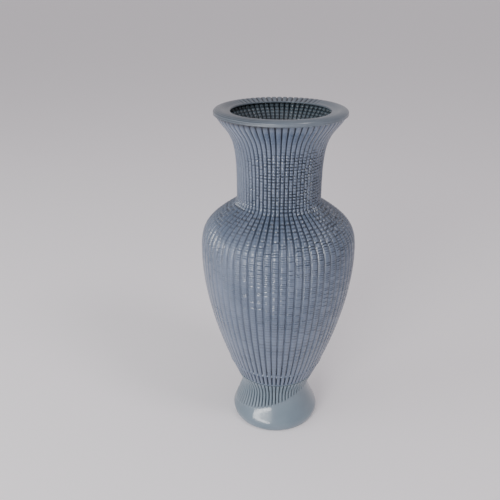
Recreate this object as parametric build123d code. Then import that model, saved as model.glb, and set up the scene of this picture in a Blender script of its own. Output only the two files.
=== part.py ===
from build123d import *
import math
import os

# A ribbed vase of printed plastic: a smooth round foot, a tight waist, a belly, a straight neck
# that flares, and a rolled lip. Narrow upright ribs run round the wall, outside and inside.
# Millimetres, +Z up. The origin is the centre of the flat underside of the foot.
# An outline is drawn with X as the radius and Y as the height, and runs upwards.
# Outlines pass over the crests of the ribs, and a depth is measured square to them, inwards.

# Heights, each from the end of the one before
foot_height = 29.0             # underside to the narrowest part of the waist
flank_height = 117.0           # waist to the widest part of the belly
shoulder_height = 40.8         # widest part of the belly to the foot of the neck
neck_straight_height = 11.0    # foot of the neck to the start of the flare
flare_height = 47.7            # start of the flare to the underside of the lip
lip_height = 4.5               # underside of the lip to its crest

# Radii over the crests of the ribs
foot_base_radius = 31.4        # flat underside
foot_bulge_radius = 34.3
waist_radius = 27.0
belly_radius = 57.0
neck_radius = 30.5
flare_radius = 45.2            # top of the flare, under the lip

# Bends between the stretches, and how far each stretch leans from upright where it meets one
foot_bulge_height = 6.1
waist_bend_radius = 13.2
foot_lean = 11.0
flank_lean = 25.0
collar_bend_radius = 5.2
shoulder_lean = 56.0
flare_lean = 30.0

# Fullness of each stretch at its lower and upper end, as a share of its height
foot_fullness = (0.08, 0.37)
flank_fullness = (0.25, 0.37)
shoulder_fullness = (0.53, 0.69)
flare_fullness = (0.80, 0.31)

# Wall, floor and ribs
wall_thickness = 2.0
floor_thickness = 3.0
rib_count = 65
rib_depth = 1.3
inner_rib_depth = 1.2
rib_share = 0.72               # width of a rib as a share of the rib spacing
rib_break_height = 42.7        # middle of the break between the upper and lower ribs
rib_break = 1.0                # height of that break
lower_rib_end_height = 22.0    # where the lower ribs end, on the axis
lower_rib_end_slope = 0.33     # rise of that end line per millimetre towards +X

# Lip
lip_overhang = 1.1             # how far the outer band stands out past the ribs under it
lip_crest_setback = 3.2        # how far the crest lies inside the top of the flare
lip_reach_in = 10.7            # how far the edge of the mouth lies inside the top of the flare
lip_band_height = 1.6          # upright outer band
lip_overhang_drop = 0.6        # underside of the band above the top of the flare
lip_edge_drop = 1.6            # top of the lip's inner edge below its crest
lip_edge_thickness = 1.6       # the inner edge is fully round

# Levels worked out from the sizes above
waist_level = foot_height
belly_level = waist_level + flank_height
neck_level = belly_level + shoulder_height
flare_level = neck_level + neck_straight_height
lip_level = flare_level + flare_height
top_level = lip_level + lip_height
rib_spacing = 360 / rib_count
wall_depth = rib_depth + wall_thickness
full_depth = wall_depth + inner_rib_depth
lip_radius = flare_radius + lip_overhang
lip_crest_radius = flare_radius - lip_crest_setback
mouth_radius = flare_radius - lip_reach_in


def leaning(lean):
    """The upward direction that leans outwards from upright by that many degrees."""
    return Vector(math.sin(math.radians(lean)), math.cos(math.radians(lean)))


def stretch(start, start_lean, end, end_lean, fullness):
    """A curve from start up to end that leans as given at each end."""
    height = end.Y - start.Y
    low = start + leaning(start_lean) * (height * fullness[0])
    high = end - leaning(end_lean) * (height * fullness[1])
    return Bezier(start, low, high, end)


def hollow_bend(radius, level, bend_radius, low_lean, high_lean):
    """A bend that curves in to radius at level, from one lean to the other."""
    centre = (radius + bend_radius, level)
    return CenterArc(centre, bend_radius, 180 - low_lean, low_lean - high_lean)


def inset(curve, depth):
    """The curve moved square to itself by depth, towards the hollow."""
    if depth == 0:
        return curve
    steps = 10
    places = []
    for step in range(steps + 1):
        along = curve % (step / steps)
        places.append((curve @ (step / steps)) + Vector(-along.Y, along.X) * depth)
    return Spline(*places, tangents=(curve % 0, curve % 1))


def lower_waist():
    return hollow_bend(waist_radius, waist_level, waist_bend_radius, -foot_lean, 0)


def upper_waist():
    return hollow_bend(waist_radius, waist_level, waist_bend_radius, 0, flank_lean)


def collar():
    return hollow_bend(neck_radius, neck_level, collar_bend_radius, -shoulder_lean, 0)


def foot_side(depth):
    """The foot's side, from its bulge to the waist, with the waist end moved in by depth."""
    bulge = Vector(foot_bulge_radius, foot_bulge_height)
    return stretch(bulge, 0, inset(lower_waist(), depth) @ 0, -foot_lean, foot_fullness)


def belly_outline():
    """From the waist to the widest part of the belly."""
    widest = Vector(belly_radius, belly_level)
    return [upper_waist(), stretch(upper_waist() @ 1, flank_lean, widest, 0, flank_fullness)]


def shoulder_outline():
    """From the widest part of the belly to the foot of the neck."""
    widest = Vector(belly_radius, belly_level)
    return [stretch(widest, 0, collar() @ 0, -shoulder_lean, shoulder_fullness), collar()]


def neck_outline():
    """From the foot of the neck to the underside of the lip."""
    foot_of_neck = Vector(neck_radius, neck_level)
    foot_of_flare = Vector(neck_radius, flare_level)
    top = Vector(flare_radius, lip_level)
    flare = stretch(foot_of_flare, 0, top, flare_lean, flare_fullness)
    return [Line(foot_of_neck, foot_of_flare), flare]


def whole_outline():
    return [*belly_outline(), *shoulder_outline(), *neck_outline()]


def band(outline, outer_depth, inner_depth):
    """The upright face between two depths along an outline."""
    outer = [inset(curve, outer_depth) for curve in outline]
    inner = [inset(curve, inner_depth) for curve in outline]
    low_end = Line(outer[0] @ 0, inner[0] @ 0)
    high_end = Line(outer[-1] @ 1, inner[-1] @ 1)
    return Plane.XZ * make_face([*outer, high_end, *inner, low_end])


def ring(face):
    return revolve(face, Axis.Z, 360)


def ribs(face, turn):
    """One rib of that section for each rib spacing, the first turned by that many degrees from +X."""
    width = rib_spacing * rib_share
    rib = revolve(face, Axis.Z, width)
    return [Rot(0, 0, turn - width / 2 + rib_spacing * step) * rib for step in range(rib_count)]


def slab(low, high):
    """A block wider than the vase, between two heights."""
    side = 3 * (belly_radius + lip_radius)
    return Pos(0, 0, (low + high) / 2) * Box(side, side, high - low)


def foot():
    """The smooth foot with its floor. Its side meets the bottoms of the rib grooves at the waist."""
    base = Vector(foot_base_radius, 0)
    bulge = Vector(foot_bulge_radius, foot_bulge_height)
    roll_out = Vector((foot_base_radius + 2 * foot_bulge_radius) / 3, 0)
    roll_up = Vector(foot_bulge_radius, foot_bulge_height / 2)
    side = foot_side(rib_depth)
    waist = inset(lower_waist(), rib_depth)
    section = [
        Line((0, 0), base),
        Bezier(base, roll_out, roll_up, bulge),
        side,
        waist,
        Line(waist @ 1, (0, waist_level)),
        Line((0, waist_level), (0, 0)),
    ]
    return ring(Plane.XZ * make_face(section)) - foot_hollow(side)


def foot_hollow(side):
    """The space in the foot, with a rounded edge round its floor."""
    inner_side = inset(side, wall_thickness)
    waist = inset(lower_waist(), wall_depth)
    corner = inner_side @ 0
    round_height = corner.Y - floor_thickness
    floor_edge = Vector(corner.X - round_height, floor_thickness)
    section = [
        Line((0, floor_thickness), floor_edge),
        CenterArc(floor_edge + Vector(0, round_height), round_height, -90, 90),
        inner_side,
        waist,
        Line(waist @ 1, (0, waist_level)),
        Line((0, waist_level), (0, floor_thickness)),
    ]
    return ring(Plane.XZ * make_face(section))


def wall(outline):
    """The plain wall behind the ribs, along that outline."""
    return ring(band(outline, rib_depth, wall_depth))


def lip():
    """The broad smooth rim. It covers the wall and both sets of ribs, and overhangs them."""
    flare = neck_outline()[-1]
    outer_seat = flare @ 1
    inner_seat = inset(flare, full_depth) @ 1
    crest = Vector(lip_crest_radius, top_level)
    band_low = Vector(lip_radius, lip_level + lip_overhang_drop)
    band_high = band_low + Vector(0, lip_band_height)
    drop = crest.Y - band_high.Y
    reach = lip_radius - lip_crest_radius
    edge_round = lip_edge_thickness / 2
    edge = Vector(mouth_radius + edge_round, top_level - lip_edge_drop - edge_round)
    edge_top = edge + Vector(0, edge_round)
    ease = Vector((crest.X - edge.X) / 3, 0)
    section = [
        Line(inner_seat, outer_seat),
        Line(outer_seat, band_low),
        Line(band_low, band_high),
        Bezier(band_high, band_high + Vector(0, drop / 2), crest + Vector(reach / 2, 0), crest),
        Bezier(crest, crest - ease, edge_top + ease, edge_top),
        CenterArc(edge, edge_round, 90, 180),
        Line(edge - Vector(0, edge_round), inner_seat),
    ]
    return ring(Plane.XZ * make_face(section))


def outer_ribs():
    """Unbroken ribs from just above the waist to the underside of the lip."""
    strip = band(whole_outline(), 0, rib_depth)
    low = rib_break_height + rib_break / 2
    reach = belly_radius + lip_radius
    above = Polyline((0, low), (reach, low), (reach, 2 * top_level), (0, 2 * top_level), close=True)
    return ribs(strip & (Plane.XZ * make_face(above)), rib_spacing / 2)


def lower_ribs():
    """Short ribs over the waist, which run out into the foot on a slanting line."""
    foot_strip = band_between(foot_side(0), foot_side(rib_depth))
    waist_strip = band([lower_waist(), *belly_outline()], 0, rib_depth)
    keep = above_rib_ends() & slab(0, rib_break_height - rib_break / 2)
    found = []
    foot_parts = ribs(foot_strip, rib_spacing / 2)
    waist_parts = ribs(waist_strip, rib_spacing / 2)
    for foot_part, waist_part in zip(foot_parts, waist_parts):
        whole = foot_part + waist_part
        found.append(whole & keep)
    return found


def above_rib_ends():
    """A block whose underside is the slanting plane where the lower ribs end."""
    tilt = math.degrees(math.atan(lower_rib_end_slope))
    side = 3 * (belly_radius + foot_bulge_radius)
    block = Pos(0, 0, side / 2) * Box(side, side, side)
    return Pos(0, 0, lower_rib_end_height) * Rot(0, -tilt, 0) * block


def band_between(outer, inner):
    """The upright face between two curves that start at one point."""
    return Plane.XZ * make_face([outer, Line(outer @ 1, inner @ 1), inner])


def inner_ribs():
    """Ribs inside, each behind a groove of the outer ones, from the waist to the lip."""
    return ribs(band(whole_outline(), wall_depth, full_depth), 0)


def save(name, shapes):
    """Writes one sub-part, with the file named after it."""
    whole = Compound(label=name, children=shapes) if len(shapes) > 1 else shapes[0]
    export_step(whole, os.path.join("parts", name + ".step"))


os.makedirs("parts", exist_ok=True)
save("foot", [foot()])
save("belly_wall", [wall(belly_outline())])
save("shoulder_wall", [wall(shoulder_outline())])
save("neck_wall", [wall(neck_outline())])
save("lip", [lip()])
save("outer_ribs", outer_ribs())
save("lower_ribs", lower_ribs())
save("inner_ribs", inner_ribs())
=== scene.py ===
import math

import bpy
import numpy as np
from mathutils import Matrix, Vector


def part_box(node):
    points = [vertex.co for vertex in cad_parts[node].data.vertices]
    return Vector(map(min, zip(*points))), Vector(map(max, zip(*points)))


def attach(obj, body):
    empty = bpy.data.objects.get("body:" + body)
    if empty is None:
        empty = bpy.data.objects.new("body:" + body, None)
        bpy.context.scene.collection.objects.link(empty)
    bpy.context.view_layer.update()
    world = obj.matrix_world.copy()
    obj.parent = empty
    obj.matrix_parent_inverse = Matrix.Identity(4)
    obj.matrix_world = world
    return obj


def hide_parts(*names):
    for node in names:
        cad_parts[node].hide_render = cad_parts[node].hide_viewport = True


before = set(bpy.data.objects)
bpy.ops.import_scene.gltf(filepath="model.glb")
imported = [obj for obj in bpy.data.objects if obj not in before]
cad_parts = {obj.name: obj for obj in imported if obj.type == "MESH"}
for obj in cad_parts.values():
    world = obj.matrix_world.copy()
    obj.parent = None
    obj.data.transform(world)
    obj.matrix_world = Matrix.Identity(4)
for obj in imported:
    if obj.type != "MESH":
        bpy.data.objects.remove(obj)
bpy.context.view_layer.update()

# A ribbed vase of printed plastic on a pale floor, in metres, +Z up.
# Each stretch of the wall is one closed shell, with a ribbed and ringed outer skin and a ribbed
# inner skin. The skins follow the crests of the CAD ribs. Grooves run up between the ribs, and the
# level lines of the print cross them. Painted shade in the colour darkens the grooves and lines.
# A side of the vase is given as a turn from +X.

# Ribs, as in the CAD model
RIB_COUNT = 65
RIB_SPACING = 2 * math.pi / RIB_COUNT
RIB_DEPTH = 0.0013
INNER_RIB_DEPTH = 0.0012
LOWER_RIB_END = 0.022           # where the lower ribs end, on the axis
LOWER_RIB_SLOPE = 0.33          # rise of that end line towards +X

# One rib spacing from groove to groove: how far along it lies, and how deep in the groove it is
# on a flat rib and on a round one
RIB_SECTION = np.array((
    (0.0, 1.0, 1.0),
    (0.08, 0.88, 0.84),
    (0.14, 0.22, 0.42),
    (0.25, 0.04, 0.16),
    (0.5, 0.0, 0.0),
    (0.75, 0.04, 0.16),
    (0.86, 0.22, 0.42),
    (0.92, 0.88, 0.84),
))
SECTION_SIZE = len(RIB_SECTION)
COLUMNS = RIB_COUNT * SECTION_SIZE
HALF_SECTION = SECTION_SIZE // 2

# One level line of the print, from groove to groove: how far along, and how deep
RING_SECTION = ((0.0, 1.0), (0.32, 0.05), (0.68, 0.05))

# The wall's finish by height. Each row is the height, the distance between two level lines, their
# depth and painted shade, the painted shade in the rib grooves, and how round the ribs are.
FINISH = np.array((
    (0.043, 0.0016, 0.00004, 0.0, 1.0, 0.5),
    (0.05, 0.0016, 0.00004, 0.0, 1.0, 0.5),
    (0.056, 0.0016, 0.00005, 0.05, 0.85, 0.3),
    (0.066, 0.0036, 0.00014, 0.15, 0.66, 0.0),
    (0.09, 0.0032, 0.0003, 0.5, 0.5, 0.0),
    (0.112, 0.0019, 0.0003, 0.5, 0.42, 0.0),
    (0.13, 0.0016, 0.00038, 0.5, 0.4, 0.1),
    (0.158, 0.0016, 0.0005, 0.55, 0.42, 0.3),
    (0.168, 0.0016, 0.0005, 0.6, 0.5, 0.8),
    (0.174, 0.0017, 0.00052, 0.7, 0.62, 1.0),
    (0.184, 0.002, 0.0006, 0.85, 0.76, 1.0),
    (0.19, 0.0021, 0.0008, 1.1, 0.84, 0.8),
    (0.218, 0.0021, 0.00075, 1.05, 0.86, 0.7),
    (0.23, 0.0021, 0.0002, 0.2, 0.92, 0.2),
    (0.244, 0.0021, 0.00004, 0.0, 1.0, 0.0),
))
FINISH_HEIGHT, LINE_DISTANCE, LINE_DEPTH, LINE_SHADE, GROOVE_SHADE, ROUNDNESS = FINISH.T

# Stretches of the wall: where each starts, the height it eases in over, where it ends, and the
# height it eases out over
FLANK = (0.062, 0.02, 0.155, 0.01)
NECK_LATTICE = (0.187, 0.004, 0.228, 0.008)
SHOULDER = (0.178, 0.010)       # middle and half width of the shoulder, where the grooves are deeper
WAIST_TOP = 0.056               # the grooves are deeper below this height
LUCK = (0.3, 1.4)               # each level line's strength on one rib, picked between these

MOST_LINED = math.radians(-35)  # the side where the level lines are deepest and their painted shade darkest
SEAM_SHADE_SIDE = math.radians(-150)  # the side where the painted shade under the lip shows most
SMOOTHEST = math.radians(-165)  # the side where the flank's grooves are shallowest and carry the least painted shade

LIGHT_RING = 0.0545             # height of a fine raised ring that bridges the grooves
LIGHT_RING_WIDTH = 0.0008       # half of its width
LIGHT_RING_RISE = 0.00045
SEAM_SHADE_WIDTH = 0.0018             # height of the seam under the lip, a shallow groove darkened with painted shade
SEAM_DEPTH = 0.0006
BREAK_DEPTH = 0.5               # depth of the break between the ribs as a share of the rib depth
LAYER = 0.0003                  # height of one printed layer
LIP_STEP = 0.0013               # distance between two steps of the print on the lip
LIP_STEP_DEPTH = 0.00012
LIP_RIB_DEPTH = 0.0008          # depth of the grooves on the lip's back
LIP_BACK = math.radians(93)     # the side where the ribs show through the lip
LIP_STEPPED = math.radians(-160)  # the side where the lip shows the steps of the print

INNER_PITCH = 0.018             # height of three rows of the plain inner skin
INNER_LINE_DISTANCE = 0.0020    # level lines inside the neck
INNER_LINE_DEPTH = 0.0005


def outline(names, outwards, least=0.54):
    """Heights and radii of those CAD nodes' faces that look away from the axis, or to it.

    A face counts if its normal lies that much along the radius.
    """
    points = {}
    for name in names:
        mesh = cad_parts[name].data
        for face in mesh.polygons:
            across = Vector((face.center.x, face.center.y)).normalized()
            facing = across.dot(Vector((face.normal.x, face.normal.y)))
            if (facing if outwards else -facing) > least:
                for index in face.vertices:
                    at = mesh.vertices[index].co
                    points[round(at.z, 5)] = math.hypot(at.x, at.y)
    heights = np.array(sorted(points))
    return heights, np.array([points[height] for height in heights])


class Curve:
    """A smooth line of radius over height through an outline."""

    def __init__(self, found, step=0.0025):
        heights, radii = found
        count = max(4, round((heights[-1] - heights[0]) / step))
        self.z = np.linspace(heights[0], heights[-1], count)
        self.r = np.interp(self.z, heights, radii)
        self.slope = np.gradient(self.r, self.z)

    def radius(self, z):
        z = np.clip(z, self.z[0], self.z[-1])
        k = np.clip(np.searchsorted(self.z, z) - 1, 0, len(self.z) - 2)
        gap = self.z[k + 1] - self.z[k]
        t = (z - self.z[k]) / gap
        value = self.r[k] * (1 + 2 * t) * (1 - t) ** 2 + self.r[k + 1] * t * t * (3 - 2 * t)
        return value + gap * t * (1 - t) * (self.slope[k] * (1 - t) - self.slope[k + 1] * t)

    def inward(self, z):
        """The direction square to the line and towards the axis, as radius and height."""
        rise = (self.radius(z + 1e-4) - self.radius(z - 1e-4)) / 2e-4
        size = np.hypot(1, rise)
        return -1 / size, rise / size


def ease(value):
    value = np.clip(value, 0, 1)
    return value * value * (3 - 2 * value)


def bump_at(z, middle, half_width):
    """One at the middle height, and nought away from it."""
    return np.exp(-(((z - middle) / half_width) ** 2))


def between(z, low, low_ease, high, high_ease):
    """One inside a stretch of heights, and easing to nought at its ends."""
    return ease((z - low) / low_ease) * ease((high - z) / high_ease)


def finish(z, values):
    """One column of the finish at a height."""
    return np.interp(z, FINISH_HEIGHT, values)


def level_rows(low, high):
    """Heights from low to high, with the level line of each and how deep in its groove it lies."""
    levels = [low]
    while levels[-1] < high:
        levels.append(levels[-1] + finish(levels[-1], LINE_DISTANCE))
    levels = low + (np.array(levels) - low) * (high - low) / (levels[-1] - low)
    rows = []
    for line, (level, above) in enumerate(zip(levels, levels[1:])):
        rows += [(level + at * (above - level), line, depth) for at, depth in RING_SECTION]
    rows.append((high, len(levels) - 1, 1.0))
    return np.array(rows)


def rib_columns(roundness=0.0):
    """Turn, depth in the groove and rib number of each column of points."""
    rib, place = np.divmod(np.arange(COLUMNS), SECTION_SIZE)
    at, flat, round_one = RIB_SECTION[place].T
    return (rib + at) * RIB_SPACING, flat + (round_one - flat) * roundness, rib


def wall_rows(turns, radii, heights, shade):
    """Rows of points as one array: place, and the painted shade for the material."""
    shape = np.broadcast(turns, radii, heights, shade).shape
    parts = [radii * np.cos(turns), radii * np.sin(turns), heights, shade]
    return np.stack([np.broadcast_to(part, shape) for part in parts], -1)


def towards(turns, direction, from_cosine, to_cosine):
    """One on the side of the vase that faces that direction, and nought away from it."""
    return ease((np.cos(turns - direction) - from_cosine) / (to_cosine - from_cosine))


def line_strength(z, turns, shoulder, plain):
    """How strong the level lines are on each side of the vase, in depth and in painted shade."""
    side = (0.55 + 0.75 * towards(turns, MOST_LINED, -0.2, 1.0)) * (1 - 0.7 * plain)
    return np.maximum(side, 1.2 * shoulder)


def outer_skin(low, high, seed):
    """The outer skin from low to high, with ribs, level lines and a seam under the lip. Painted shade
    darkens the grooves, the level lines and the seam.
    """
    rows = level_rows(low, high)
    z = rows[:, 0:1]
    turns, groove, rib = rib_columns(finish(z, ROUNDNESS))
    luck = np.random.RandomState(seed).uniform(*LUCK, (len(rows), RIB_COUNT))
    luck = luck[rows[:, 1].astype(int)][:, rib]
    lattice = between(z, *NECK_LATTICE)
    plain = lattice * towards(turns, math.pi, 0.6, 0.9)
    shoulder = bump_at(z, *SHOULDER)
    line = rows[:, 2:3] * luck * line_strength(z, turns, shoulder, plain) * (1 - 0.6 * groove)
    flank = between(z, *FLANK)
    smooth = flank * towards(turns, SMOOTHEST, 0.60, 0.90)
    ring = bump_at(z, LIGHT_RING, LIGHT_RING_WIDTH)
    open_groove = 1 - 0.95 * ring
    # The seam under the lip is a shallow groove darkened with painted shade, most on one side.
    seam_with_shade = bump_at(z, crest.z[-1], SEAM_SHADE_WIDTH) * (0.2 + 0.8 * towards(turns, SEAM_SHADE_SIDE, 0.1, 0.8))

    deeper = 1 + 0.45 * ease((WAIST_TOP - z) / 0.003) + 0.3 * shoulder
    depth = RIB_DEPTH * groove * deeper * open_groove * (1 - 0.6 * smooth) + line * finish(z, LINE_DEPTH)
    depth = depth + SEAM_DEPTH * seam_with_shade - LIGHT_RING_RISE * ring

    # Painted shade in the rib grooves: broken up at random on the flank, wider on the sides of the
    # shoulder and in the neck lattice, less on the smoothest side and on the plain side of the lattice.
    broken = 1 - 0.6 * flank * (1.2 - np.minimum(luck, 1.2))
    wide_groove_shade = 1.3 * np.cos(turns) ** 2 * shoulder + 0.6 * lattice
    dark = groove ** (1.5 - np.minimum(wide_groove_shade, 1.2)) * finish(z, GROOVE_SHADE) * (1 - 0.85 * smooth)
    dark = dark * broken * open_groove * (1 - 0.5 * plain)
    # The shade attribute is painted shade: the darker of the grooves and the level lines, with the seam
    # added.
    shade = np.clip(np.maximum(dark, line * finish(z, LINE_SHADE)) + seam_with_shade, 0, 1)
    radius_in, height_in = crest.inward(z)
    return wall_rows(turns, crest.radius(z) + radius_in * depth, z + height_in * depth, shade)


def inner_skin(low, high, pitch, line_depth):
    """The inner skin from high to low. A rib stands behind each outer groove."""
    count = max(1, round((high - low) / pitch))
    line = np.array([1.0, 0.0, 0.0] * count + [1.0])[:, None]
    z = np.linspace(high, low, len(line))[:, None]
    turns, groove, rib = rib_columns()
    turns = np.roll(turns + RIB_SPACING / 2, HALF_SECTION)
    turns[:HALF_SECTION] -= 2 * math.pi
    groove = np.roll(groove, HALF_SECTION)
    depth = -(INNER_RIB_DEPTH * groove + line_depth * line * (1 - 0.6 * groove))
    radius_in, height_in = inner_crest.inward(z)
    # Painted shade in the inner grooves, and in the level lines where they are cut.
    shade = np.maximum(groove, 0.8 * line * (line_depth > 0))
    return wall_rows(turns, inner_crest.radius(z) + radius_in * depth, z + height_in * depth, shade)


def plain_rows(curve, low, high, step):
    """Smooth rows of points along a curve from low to high, or down from high if low is higher."""
    turns, groove, rib = rib_columns()
    count = max(2, round(abs(high - low) / step) + 1)
    z = np.linspace(low, high, count)[:, None]
    return wall_rows(turns, curve.radius(z), z, 0 * z)


def level_row(radii, height, shade=0.0):
    turns, groove, rib = rib_columns()
    return wall_rows(turns[None, :], np.broadcast_to(radii, (1, COLUMNS)), height, shade)


def closed_shell(name, rows, inner_from, capped=False):
    """A closed mesh from rows of points that run up the outside and down the inside.

    The last row joins the first, or both are closed by a fan to the axis when capped.
    Faces from row inner_from on are the inside, and take the second material.
    """
    count = len(rows)
    points = rows[..., :3].reshape(-1, 3).tolist()
    shade = rows[..., 3].reshape(-1).tolist()
    last = count - 1 if capped else count
    row, column = np.meshgrid(np.arange(last), np.arange(COLUMNS), indexing="ij")
    up = (row + 1) % count
    along = (column + 1) % COLUMNS
    corners = [row * COLUMNS + column, row * COLUMNS + along, up * COLUMNS + along, up * COLUMNS + column]
    faces = np.stack(corners, -1).reshape(-1, 4).tolist()
    inside = (row.reshape(-1) >= inner_from).tolist()
    if capped:
        for first, step in ((0, -1), ((count - 1) * COLUMNS, 1)):
            centre = len(points)
            points.append([0, 0, points[first][2]])
            shade.append(0.0)
            ring = [first + at for at in range(COLUMNS)]
            fan = zip(ring, ring[1:] + ring[:1])
            faces += [[a, b, centre] if step > 0 else [b, a, centre] for a, b in fan]
            inside += [step > 0] * COLUMNS
    mesh = bpy.data.meshes.new(name)
    mesh.from_pydata(points, [], faces)
    mesh.attributes.new("shade", "FLOAT", "POINT").data.foreach_set("value", shade)
    mesh.polygons.foreach_set("material_index", [int(flag) for flag in inside])
    mesh.shade_smooth()
    mesh.set_sharp_from_angle(angle=math.radians(55))
    obj = bpy.data.objects.new(name, mesh)
    bpy.context.scene.collection.objects.link(obj)
    return obj


# ---------------------------------------------------------------- materials


def add_node(material, kind, **values):
    """A new node with those inputs set, named as its sockets but with _ for a space."""
    node = material.node_tree.nodes.new(kind)
    for name, value in values.items():
        node.inputs[name.replace("_", " ")].default_value = value
    return node


def plastic(name, dark, light, groove, roughness, coat, line_bump):
    """Printed plastic: slight mottling, grooves with painted shade in the groove colour, fine level lines
    and uneven gloss.
    """
    material = bpy.data.materials.new(name)
    material.use_nodes = True
    link = material.node_tree.links.new
    shader = material.node_tree.nodes["Principled BSDF"]
    shader.inputs["IOR"].default_value = 1.47
    shader.inputs["Coat Weight"].default_value = coat
    shader.inputs["Coat Roughness"].default_value = 0.10
    place = add_node(material, "ShaderNodeTexCoord")

    mottle = add_node(material, "ShaderNodeTexNoise", Scale=45, Detail=4)
    link(place.outputs["Object"], mottle.inputs["Vector"])
    body = material.node_tree.nodes.new("ShaderNodeValToRGB")
    body.color_ramp.elements[0].position = 0.35
    body.color_ramp.elements[0].color = (*dark, 1)
    body.color_ramp.elements[1].position = 0.68
    body.color_ramp.elements[1].color = (*light, 1)
    link(mottle.outputs["Fac"], body.inputs["Fac"])
    # The shade attribute mixes the groove colour in: painted shade in the grooves, level lines and seams.
    depth = material.node_tree.nodes.new("ShaderNodeAttribute")
    depth.attribute_name = "shade"
    colour = material.node_tree.nodes.new("ShaderNodeMix")
    colour.data_type = "RGBA"
    colour.inputs["B"].default_value = (*groove, 1)
    link(depth.outputs["Fac"], colour.inputs["Factor"])
    link(body.outputs["Color"], colour.inputs["A"])
    link(colour.outputs["Result"], shader.inputs["Base Color"])

    gloss = add_node(material, "ShaderNodeMapRange", To_Min=roughness - 0.06, To_Max=roughness + 0.08)
    link(mottle.outputs["Fac"], gloss.inputs["Value"])
    link(gloss.outputs["Result"], shader.inputs["Roughness"])

    lines = add_node(material, "ShaderNodeTexWave", Scale=2 * math.pi / 20 / LAYER, Distortion=0.4)
    lines.wave_type = "BANDS"
    lines.bands_direction = "Z"
    link(place.outputs["Object"], lines.inputs["Vector"])
    bump = add_node(material, "ShaderNodeBump", Strength=line_bump, Distance=0.0002)
    link(lines.outputs["Fac"], bump.inputs["Height"])
    link(bump.outputs["Normal"], shader.inputs["Normal"])
    return material


# In each plastic the third colour is the painted shade in its grooves.
RIBBED = plastic(
    "ribbed_plastic", (0.070, 0.097, 0.147), (0.100, 0.130, 0.189), (0.005, 0.008, 0.016),
    roughness=0.28, coat=0.7, line_bump=0.12,
)
# The inside is the same plastic in darker colours, as painted shade inside the vase.
INSIDE_SHADED = plastic(
    "inside_shaded_plastic", (0.060, 0.084, 0.105), (0.090, 0.120, 0.145), (0.004, 0.006, 0.010),
    roughness=0.34, coat=0.2, line_bump=0.12,
)
SMOOTH = plastic(
    "smooth_plastic", (0.100, 0.140, 0.174), (0.130, 0.172, 0.208), (0.010, 0.016, 0.026),
    roughness=0.30, coat=0.7, line_bump=0.04,
)
RIM = plastic(
    "rim_plastic", (0.078, 0.098, 0.122), (0.098, 0.119, 0.144), (0.007, 0.009, 0.015),
    roughness=0.30, coat=0.3, line_bump=0.10,
)


# ---------------------------------------------------------------- the vase

crest = Curve(outline(["outer_ribs", "lower_ribs"], True))
inner_crest = Curve(outline(["inner_ribs"], False))
foot_side = Curve(outline(["foot"], True, 0.05), 0.0006)
foot_hollow = Curve(outline(["foot"], False, 0.05), 0.0006)
BREAK_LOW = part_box("lower_ribs")[1].z
BREAK_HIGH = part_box("outer_ribs")[0].z
BREAK = (BREAK_LOW + BREAK_HIGH) / 2
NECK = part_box("neck_wall")[0].z
BELLY = 0.110                  # where the shell of the flank ends and that of the shoulder starts
FOOT_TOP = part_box("foot")[1].z


def break_row(z):
    """A plain row in the break between the ribs, part of the way down their grooves."""
    radius_in, height_in = crest.inward(z)
    return level_row(crest.radius(z) + radius_in * RIB_DEPTH * BREAK_DEPTH, z)


def make_flank():
    """From the break in the ribs to the belly. Its lowest rows are the upper half of the break."""
    rows = [break_row(BREAK), break_row(BREAK_HIGH), outer_skin(BREAK_HIGH, BELLY, 3)]
    inner = inner_skin(BREAK, BELLY, INNER_PITCH, 0)
    flank = closed_shell("flank_shell", np.concatenate([*rows, inner]), sum(map(len, rows)))
    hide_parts("belly_wall", "outer_ribs", "inner_ribs")
    return flank


def make_shoulder():
    """From the belly to the foot of the neck."""
    outer = outer_skin(BELLY, NECK, 5)
    inner = inner_skin(BELLY, NECK, INNER_PITCH, 0)
    shoulder = closed_shell("shoulder_shell", np.concatenate([outer, inner]), len(outer))
    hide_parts("belly_wall", "shoulder_wall", "outer_ribs", "inner_ribs")
    return shoulder


def make_neck():
    """The neck and its flare, up to the lip. Level lines cross the inside too."""
    outer = outer_skin(NECK, crest.z[-1], 7)
    inner = inner_skin(NECK, inner_crest.z[-1], INNER_LINE_DISTANCE, INNER_LINE_DEPTH)
    neck = closed_shell("neck_shell", np.concatenate([outer, inner]), len(outer))
    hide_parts("neck_wall", "outer_ribs", "inner_ribs")
    return neck


def foot_skin():
    """The outside of the foot, where the lower ribs run out on a slanting line."""
    turns, groove, rib = rib_columns()
    side = np.linspace(0, FOOT_TOP * 0.4, 14)[:, None]
    ribbed = np.linspace(FOOT_TOP * 0.4, BREAK_LOW, 50)[1:, None]
    z = np.concatenate([side, ribbed])
    radius_in, height_in = crest.inward(z)
    root = np.where(z < FOOT_TOP, foot_side.radius(z), crest.radius(z) + radius_in * RIB_DEPTH)
    top = np.where(z < crest.z[0], root, np.maximum(root, crest.radius(z)))
    end = LOWER_RIB_END + LOWER_RIB_SLOPE * root * np.cos(turns)
    fade = ease((z - end) / 0.0012 + 0.5)
    radii = root + (top - root) * (1 - groove) * fade - 0.0003 * groove * fade
    # Painted shade in the lower rib grooves, fading out with them.
    return wall_rows(turns, radii, z, groove * fade * ease((z - crest.z[0]) / 0.004))


def make_foot():
    """The foot and the lower ribs, with the floor of the vase."""
    outer = [foot_skin(), break_row(BREAK_LOW), break_row(BREAK)]
    ribbed = inner_skin(FOOT_TOP, BREAK, 0.010, 0)
    hollow = plain_rows(foot_hollow, FOOT_TOP, foot_hollow.z[0], 0.0015)
    rows = np.concatenate([*outer, ribbed, hollow])
    foot = closed_shell("foot_shell", rows, sum(map(len, outer)), capped=True)
    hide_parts("foot", "lower_ribs", "inner_ribs")
    return foot


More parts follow.
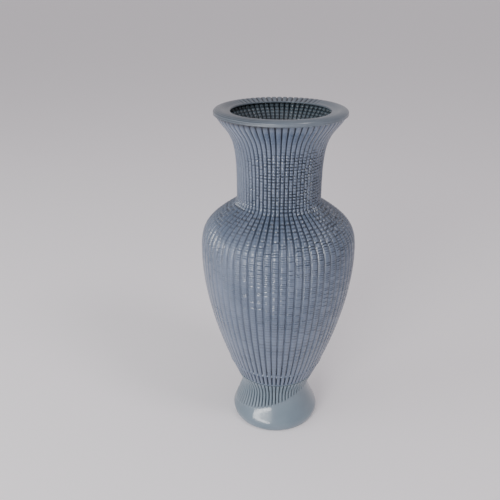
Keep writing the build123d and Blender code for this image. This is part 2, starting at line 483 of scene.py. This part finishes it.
def lip_section(longest):
    """The lip's section as a closed run of radius and height, cut into steps of that length."""
    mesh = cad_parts["lip"].data
    on_cut = [v for v in mesh.vertices if v.co.x > 0 and abs(v.co.y) < 1e-6]
    cut = {v.index: (round(v.co.x, 6), round(v.co.z, 6)) for v in on_cut}
    beside = {}
    for a, b in mesh.edge_keys:
        if a in cut and b in cut and cut[a] != cut[b]:
            beside.setdefault(cut[a], set()).add(cut[b])
            beside.setdefault(cut[b], set()).add(cut[a])
    run = [min(beside)]
    while len(run) < len(beside):
        run.append(next(place for place in sorted(beside[run[-1]]) if place not in run))
    run = np.array(run)
    points = []
    for start, end in zip(run, np.roll(run, -1, 0)):
        steps = max(1, math.ceil(np.hypot(*(end - start)) / longest))
        points += [start + (end - start) * step / steps for step in range(steps)]
    points = np.array(points)
    ahead, behind = np.roll(points, -1, 0), np.roll(points, 1, 0)
    area = np.sum(points[:, 0] * ahead[:, 1] - ahead[:, 0] * points[:, 1])
    return (points, ahead - behind) if area > 0 else (points[::-1], (behind - ahead)[::-1])


def make_lip():
    """The broad rim: ribs show through at the back, and fine steps of the print on its left. Painted
    shade darkens the back grooves, the steps and the underside.
    """
    points, along = lip_section(0.0005)
    along = along / np.hypot(along[:, 0], along[:, 1])[:, None]
    r, z = points[:, 0:1], points[:, 1:2]
    out_r, out_z = along[:, 1:2], -along[:, 0:1]
    turns, groove, rib = rib_columns(0.5)
    on_top = ease((out_z - 0.3) / 0.4)
    back = towards(turns, LIP_BACK, 0.55, 0.90)
    left = towards(turns, LIP_STEPPED, 0.30, 0.75)
    travel = np.cumsum(np.hypot(*(points - np.roll(points, 1, 0)).T))[:, None]
    steps = ease(2 * np.abs(travel / LIP_STEP % 1 - 0.5))
    # Painted shade in the grooves on the lip's back and in the steps of the print, and under the lip on
    # one side.
    ribs = groove * on_top * back
    lines = steps * ease((out_z + 0.3) / 0.2) * left
    under_lip_shade = ease((-0.3 - out_z) / 0.3) * towards(turns, SEAM_SHADE_SIDE, 0.1, 0.8)
    depth = LIP_RIB_DEPTH * ribs + LIP_STEP_DEPTH * lines
    shade = np.clip(1.1 * ribs + 0.7 * lines + under_lip_shade, 0, 1)
    rows = wall_rows(turns, r - out_r * depth, z - out_z * depth, shade)
    lip = closed_shell("lip_shell", rows, len(rows))
    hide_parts("lip")
    return lip


def finish_piece(piece, outside):
    piece.data.materials.append(outside)
    piece.data.materials.append(INSIDE_SHADED)
    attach(piece, "root")


finish_piece(make_flank(), RIBBED)
finish_piece(make_shoulder(), RIBBED)
finish_piece(make_neck(), RIBBED)
finish_piece(make_foot(), SMOOTH)
finish_piece(make_lip(), RIM)


# ---------------------------------------------------------------- floor, light and camera


def make_floor():
    mesh = bpy.data.meshes.new("floor")
    reach = 60.0
    corners = [(-reach, -reach, 0), (reach, -reach, 0), (reach, reach, 0), (-reach, reach, 0)]
    mesh.from_pydata(corners, [], [(0, 1, 2, 3)])
    floor = bpy.data.objects.new("floor", mesh)
    bpy.context.scene.collection.objects.link(floor)
    material = bpy.data.materials.new("pale_floor")
    material.use_nodes = True
    shader = material.node_tree.nodes["Principled BSDF"]
    shader.inputs["Base Color"].default_value = (0.92, 0.885, 0.90, 1)
    shader.inputs["Roughness"].default_value = 0.8
    mesh.materials.append(material)


def soft_light(name, azimuth, elevation, distance, size, watts, colour):
    """A soft oblong light that looks at the vase from that side of it."""
    turn, rise = math.radians(azimuth), math.radians(elevation)
    aim = Vector((0, 0, 0.13))
    away = Vector((math.cos(turn) * math.cos(rise), math.sin(turn) * math.cos(rise), math.sin(rise)))
    light = bpy.data.lights.new(name, "AREA")
    light.shape = "RECTANGLE"
    light.size, light.size_y = size
    light.energy = watts
    light.color = colour
    lamp = bpy.data.objects.new(name, light)
    lamp.location = aim + away * distance
    lamp.rotation_euler = away.to_track_quat("Z", "Y").to_euler()
    bpy.context.scene.collection.objects.link(lamp)


def make_lights():
    soft_light("window", -160, 24, 1.3, (0.7, 0.6), 3.5, (0.95, 1.0, 1.0))
    soft_light("front_window_low", -124, 4, 1.4, (1.2, 0.07), 6.5, (1.0, 1.0, 1.0))
    soft_light("front_window_high", -114, 17, 1.4, (0.65, 0.16), 13.0, (1.0, 1.0, 1.0))
    soft_light("right_fill", -38, 50, 1.4, (0.35, 0.35), 4.5, (1.0, 0.95, 0.98))
    world = bpy.data.worlds.new("studio")
    world.use_nodes = True
    world.node_tree.nodes["Background"].inputs["Color"].default_value = (0.79, 0.76, 0.80, 1)
    world.node_tree.nodes["Background"].inputs["Strength"].default_value = 0.78
    bpy.context.scene.world = world


def make_camera():
    """The camera looks down by 24 degrees, with the vase a little right of the middle."""
    camera = bpy.data.cameras.new("camera")
    camera.sensor_width = 36
    camera.lens = 43.2
    view = bpy.data.objects.new("camera", camera)
    view.location = (0, -0.4135, 0.3261)
    view.rotation_euler = (math.radians(90 - 23.83), 0, math.radians(2.9))
    bpy.context.scene.collection.objects.link(view)
    bpy.context.scene.camera = view


make_floor()
make_lights()
make_camera()
